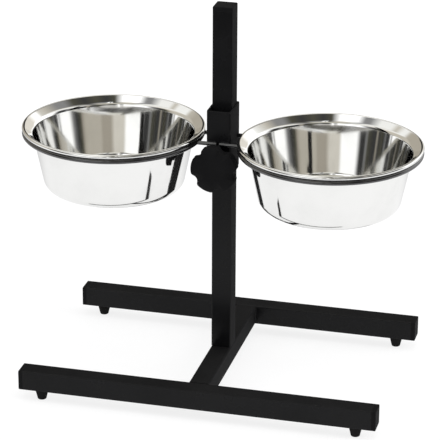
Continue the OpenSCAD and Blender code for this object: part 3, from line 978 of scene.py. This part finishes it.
def hexagon(name, flats, height, chamfer_both):
    """A chamfered hexagon that stands on the origin, flats wide across."""
    corner_r = flats / 2 / math.cos(math.radians(30))
    deselect()
    bpy.ops.mesh.primitive_cylinder_add(vertices=6, radius=corner_r, depth=height + 2 * spare,
                                        location=(0, 0, height / 2))
    prism = named(name)
    settle(prism)
    face_r, wide = flats / 2 * face_share, corner_r + spare
    drop = (wide - face_r) * math.tan(chamfer_a)
    section = [(0, 0), (face_r, 0), (wide, drop)] if chamfer_both else [(0, 0), (wide, 0)]
    section += [(wide, height - drop), (face_r, height), (0, height)]
    combine(prism, turn("hexagon_blank", section, blank_steps), "INTERSECT")
    return prism


nut_low, nut_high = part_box("clamp_nut")
nut_h, nut_hole = nut_high.y - nut_low.y, 4.05 * mm
lay_forward = Matrix.Rotation(math.radians(90), 4, "X")
nut = hexagon("clamp_weld_nut", nut_flats, nut_h, True)
drill(nut, (0, 0, -spare), up_axis, nut_hole, nut_h + 2 * spare)
move(nut, Matrix.Translation((0, nut_high.y, screw_z)) @ lay_forward)
finish(nut, powder_coat, "carriage", "clamp_nut", 25)

# %% Bolt and washer
bolt_low, bolt_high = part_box("post_bolt")
washer_low, washer_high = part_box("post_washer")
seat_z, shank_top = washer_low.z, bolt_high.z
shank_r, shank_tip_r, shank_chamfer = 4 * mm, 2.9 * mm, 1.2 * mm
turn_over = Matrix.Translation((0, 0, seat_z)) @ Matrix.Rotation(math.pi, 4, "X")
bolt = move(hexagon("post_hex_bolt", nut_flats, seat_z - bolt_low.z, False), turn_over)
shank_section = [(0, seat_z - spare), (shank_r, seat_z - spare), (shank_r, shank_top - shank_chamfer),
                 (shank_tip_r, shank_top), (0, shank_top)]
combine(bolt, turn("bolt_shank", shank_section, 48), "UNION")
finish(bolt, zinc_plate, "base", "post_bolt", 25)

washer_r, washer_hole, bevel = (washer_high.x - washer_low.x) / 2, 4.4 * mm, 0.25 * mm
washer_section = [
    (washer_hole, seat_z + bevel), (washer_hole + bevel, seat_z),
    (washer_r - bevel, seat_z), (washer_r, seat_z + bevel),
    (washer_r, washer_high.z - bevel), (washer_r - bevel, washer_high.z),
    (washer_hole + bevel, washer_high.z), (washer_hole, washer_high.z - bevel),
    (washer_hole, seat_z + bevel)]
washer = turn("washer_ring", washer_section, 64)
finish(washer, zinc_plate, "base", "post_washer", 25)

# %% [markdown]
# ## Clamp screw and pad
# The knob drives a threaded rod whose tip presses a nylon pad on the post. A bump could only hint at
# the thread, so it is a real helix: a small ridge is drawn once and a Screw modifier winds it up the
# rod. The core is turned, again in an odd number of steps, with the thin tip that seats in the pad.

# %% Screw
pitch, thread_r, core_r, tip_r = 1.25 * mm, 4.0 * mm, 3.32 * mm, 2.5 * mm
tip_len, core_edge, tip_edge, core_steps = 4.2 * mm, 0.3 * mm, 0.5 * mm, 47
screw_low, screw_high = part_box("clamp_screw")
screw_len = screw_high.y - screw_low.y
thread_len = screw_len - tip_len
core_section = [(0, 0), (core_r - core_edge, 0), (core_r, core_edge), (core_r, thread_len),
                (tip_r, thread_len), (tip_r, screw_len - tip_edge), (tip_r - tip_edge, screw_len),
                (0, screw_len)]
screw = turn("clamp_thumb_screw", core_section, core_steps)

root_r, first_z = core_r - 0.2 * mm, 0.4 * mm
ridge_section = [(root_r, 0.04), (thread_r, 0.44), (thread_r, 0.56), (root_r, 0.96)]
ridge_points = [Vector((radius, 0, first_z + share * pitch)) for radius, share in ridge_section]
ridge = draw_chain("thread", ridge_points)
bpy.ops.mesh.edge_face_add()
done()
turns = int((thread_len - 2 * pitch) / pitch)
apply_modifier(ridge, "SCREW", angle=math.tau, screw_offset=pitch, iterations=turns, steps=32,
               render_steps=32, axis="Z", use_normal_calculate=True)
edit(ridge)
select_mesh()
bpy.ops.mesh.remove_doubles(threshold=touch)
bpy.ops.mesh.fill_holes(sides=4)
face_outwards()
done()
combine(screw, ridge, "UNION")
move(screw, Matrix.Translation((0, screw_low.y, screw_z)) @ Matrix.Rotation(math.radians(-90), 4, "X"))
finish(screw, zinc_plate, "knob", "clamp_screw")

# %% Pad
pad_low, pad_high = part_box("clamp_pad")
pad_r, pad_h, pad_edge = (pad_high.x - pad_low.x) / 2, pad_high.y - pad_low.y, 0.8 * mm
socket_r, socket_d = 2.55 * mm, 4.2 * mm
pad_section = [(0, 0)] + arc((pad_r - pad_edge, pad_edge), pad_edge, -90, 0, 15)
pad_section += arc((pad_r - pad_edge, pad_h - pad_edge), pad_edge, 0, 90, 15)
pad_section += [(socket_r, pad_h), (socket_r, pad_h - socket_d), (0, pad_h - socket_d)]
pad = turn("clamp_pressure_pad", pad_section, 56)
move(pad, Matrix.Translation((0, pad_high.y, screw_z)) @ lay_forward)
finish(pad, nylon, "pad", "clamp_pad")

# %% [markdown]
# ## Star knob
# The knob is moulded with five lobes, a crowned front and a hollow back with ribs, as such knobs are
# to keep the plastic even in thickness. Its outline is a disc with five round notches and rounded
# edges between them. It could be cut from a cylinder, but the rounded edges are easier to draw: the
# outline is drawn point by point and filled, the face is extruded to the grip's height and its edges
# are bevelled, and then it is extruded and scaled in small steps over the crown. The hollow is cut
# with a second, smaller outline, and hub and ribs are joined to it.

# %% Outlines of grip and hollow
knob_low, knob_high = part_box("knob")
lobes, lobe_r, lobe_turn = 5, 28.5 * mm, 29
notch_depth, notch_r, lobe_edge, knob_wall = 4.5 * mm, 7.5 * mm, 4 * mm, 3 * mm
notch_c, edge_c = lobe_r - notch_depth + notch_r, lobe_r - lobe_edge


def meeting(one_r, two_c, two_r):
    """Where a circle of radius one_r round the knob's middle crosses one of radius two_r round a
    point two_c across: the angle in degrees, and the crossing."""
    angle = math.acos((one_r ** 2 + two_c ** 2 - two_r ** 2) / (2 * one_r * two_c))
    return math.degrees(angle), one_r * math.cos(angle), one_r * math.sin(angle)


def grip_outline():
    """One notch and one lobe of the grip, with rounded edges, as (across, up) points."""
    half, edge_x, edge_y = meeting(edge_c, notch_c, notch_r + lobe_edge)
    turn_in = math.degrees(math.atan2(edge_y, edge_x - notch_c))
    points = arc((edge_x, -edge_y), lobe_edge, -half, 180 - turn_in, 12)
    points += arc((notch_c, 0), notch_r, 360 - turn_in, turn_in, 12)[1:]
    points += arc((edge_x, edge_y), lobe_edge, turn_in - 180, half, 12)[1:]
    return points + arc((0, 0), lobe_r, half, 360 / lobes - half, 4)[1:-1]


def hollow_outline():
    """One notch and one lobe of the hollow behind the grip."""
    disc_r, bottom_r = lobe_r - knob_wall, notch_r + knob_wall
    half, corner_x, corner_y = meeting(disc_r, notch_c, bottom_r)
    turn_in = math.degrees(math.atan2(corner_y, corner_x - notch_c))
    points = arc((notch_c, 0), bottom_r, 360 - turn_in, turn_in, 12)
    return points + arc((0, 0), disc_r, half, 360 / lobes - half, 4)[1:-1]


print("Outline of", lobes * len(grip_outline()), "points, hollow of", lobes * len(hollow_outline()))

# %% Grip
grip_h, crown_drop, flat_share, crown_steps = 15 * mm, 2.4 * mm, 0.5, 10
back_round, front_round = 0.5 * mm, 2.0 * mm
grip_back, hollow = knob_low.y + grip_h, 9 * mm
side_h = grip_h - crown_drop
notch_turns = [math.radians(lobe_turn + (i + 0.5) * 360 / lobes) for i in range(lobes)]


def slab(name, y, one_fifth, height):
    """A solid with five times an outline round the screw, from a depth y forward, left in edit mode."""
    points = []
    for angle in notch_turns:
        for x, z in one_fifth:
            points.append(Vector((x * math.cos(angle) - z * math.sin(angle), y,
                                  screw_z + x * math.sin(angle) + z * math.cos(angle))))
    piece = draw_chain(name, points)
    bpy.ops.mesh.edge_face_add()
    extrude(to_viewer * height)
    face_outwards()
    return piece


knob = slab("star_knob", grip_back, grip_outline(), side_h)
for sign, rounding in ((1, back_round), (-1, front_round)):
    pick(knob, "faces", lambda face: face.normal.y * sign > 0.99)
    round_border(rounding, 6)
pick(knob, "faces", lambda face: face.normal.y < -0.99 and len(face.verts) > 4)
last_share, last_h = 1.0, side_h
for i in range(1, crown_steps + 1):
    share = 1 + (flat_share - 1) * i / crown_steps
    reach = side_h + crown_drop * (1 - ((share - flat_share) / (1 - flat_share)) ** 2)
    extrude(to_viewer * (reach - last_h))
    grow = share / last_share
    bpy.ops.transform.resize(value=(grow, 1, grow), center_override=(0, grip_back - reach, screw_z))
    last_share, last_h = share, reach
done()
cutter = slab("knob_hollow", grip_back + spare, hollow_outline(), hollow + spare)
done()
combine(knob, cutter, "DIFFERENCE")
print("Grip", in_mm(knob.dimensions), "mm")

# %% Hub and ribs
hub_r, hub_round, rib_t = 10 * mm, 0.6 * mm, 2 * mm
screw_hole_r, screw_hole_depth = 4.03 * mm, 15 * mm
hub_back, hub_front = knob_high.y, grip_back - hollow - spare
rib_reach = lobe_r - notch_depth - knob_wall / 2
rib_middle = Matrix.Translation((0, grip_back - hollow / 2 - spare / 2, screw_z))

deselect()
bpy.ops.mesh.primitive_cylinder_add(vertices=64, radius=hub_r, depth=hub_back - hub_front,
                                    location=(0, (hub_back + hub_front) / 2, screw_z),
                                    rotation=(math.radians(90), 0, 0))
hub = named("hub")
settle(hub)
edit(hub)
pick(hub, "faces", lambda face: face.normal.y > 0.9)
round_border(hub_round, 3)
done()
for angle in notch_turns:
    rib = block("rib", (rib_reach, rib_t, hollow), (rib_reach / 2, 0, 0))
    move(rib, rib_middle @ Matrix.Rotation(-angle, 4, "Y") @ lay_forward)
    combine(hub, rib, "UNION")
combine(knob, hub, "UNION")
drill(knob, (0, hub_back + spare, screw_z), to_viewer, screw_hole_r, screw_hole_depth)
finish(knob, black_plastic, "knob", "knob")

# %% [markdown]
# ## Welds
# A welder leaves a row of small overlapping drops in each corner. Under the powder coat they are soft
# bumps. A plain rod would look drawn, so each bead here is a row of balls with a little chance in
# their size and place, fused by a voxel remesh and smoothed. The chance is seeded, so every run gives
# the same beads.

# %% Weld beads
chance = random.Random(7)
drop_gap, drop_stray, drop_sizes, voxel_share = 0.75, 0.12, (0.88, 1.08), 0.16


def bead(name, start, end, radius, body):
    """A weld bead between two points."""
    start, end = Vector(start), Vector(end)
    count = max(3, round((end - start).length / (radius * drop_gap)))
    drops = []
    for i in range(count):
        spot = start.lerp(end, i / (count - 1))
        spot += Vector([chance.uniform(-drop_stray, drop_stray) * radius for axis in range(3)])
        deselect()
        bpy.ops.mesh.primitive_ico_sphere_add(subdivisions=3, location=spot,
                                              radius=radius * chance.uniform(*drop_sizes))
        drops.append(bpy.context.object)
    deselect()
    for drop in drops:
        drop.select_set(True)
    bpy.context.view_layer.objects.active = drops[0]
    bpy.ops.object.join()
    weld = named(name)
    settle(weld)
    apply_modifier(weld, "REMESH", mode="VOXEL", voxel_size=radius * voxel_share)
    apply_modifier(weld, "SMOOTH", factor=0.5, iterations=3)
    finish(weld, powder_coat, body, angle=60)


print("A ball for every", drop_gap, "of its radius")

# %% Welds of base and ties
base_bead, tie_bead, bead_in = 1.7 * mm, 1.0 * mm, 3 * mm
tie_bead_from, tie_bead_to = 4 * mm, 12 * mm
cross_low, cross_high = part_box("cross_bar")
for row, y in (("front", cross_low.y), ("rear", cross_high.y)):
    for side, x in (("left", cross_low.x), ("right", cross_high.x)):
        bead(f"{row}_{side}_base_weld", (x, y, cross_low.z + bead_in), (x, y, cross_high.z - bead_in),
             base_bead, "base")
tie_bead_y = sleeve_low.y - 0.4 * mm
for side, sign in (("left", -1), ("right", 1)):
    for edge_name, lift in (("upper", 1), ("lower", -1)):
        z = ring_z + lift * tie_r * 0.8
        bead(f"{side}_{edge_name}_tie_weld", (sign * tie_bead_from, tie_bead_y, z),
             (sign * tie_bead_to, tie_bead_y, z), tie_bead, "carriage")

# %% [markdown]
# ## The hidden insert
# The threaded insert in the post's foot is never seen, and its CAD shape is right, so it stays as it
# is and only gets the zinc finish.

# %% Insert
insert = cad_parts["post_insert"]
insert.data.materials.clear()
insert.data.materials.append(zinc_plate)
print("Insert keeps its CAD shape:", len(insert.data.polygons), "faces")
